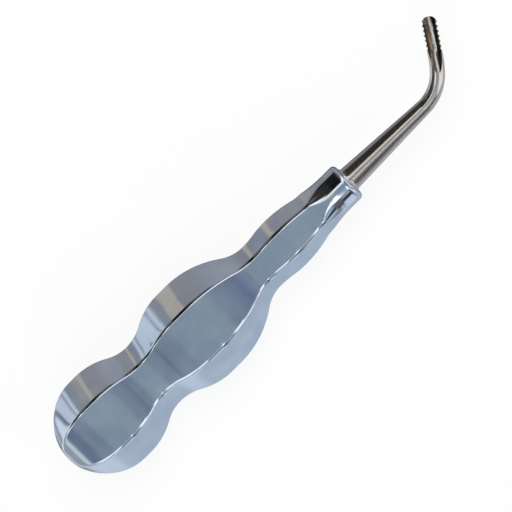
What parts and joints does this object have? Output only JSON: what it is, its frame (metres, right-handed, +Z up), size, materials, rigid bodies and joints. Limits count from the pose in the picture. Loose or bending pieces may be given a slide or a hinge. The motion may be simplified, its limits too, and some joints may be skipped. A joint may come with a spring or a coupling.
{
  "type": "dental elevator",
  "caption": "Dental elevator: a wavy six-sided hollow handle, a slim tapered shank bent to one side, and a round-nosed gouge tip with serrated edges.",
  "frame": {"origin": "on the handle flat that it rests on, under the middle of the belly's level place", "axes": "+X along the handle towards the tip, +Y to the side that the tip bends to, +Z up, the way the gouge's hollow faces"},
  "size_m": [0.1603, 0.0323, 0.0267],
  "materials": {
    "handle_polish": "mirror polished",
    "working_end_steel": "finely polished"
  },
  "bodies": {
    "root": {"handle": "handle_polish", "working_end": "working_end_steel"}
  },
  "joints": []
}
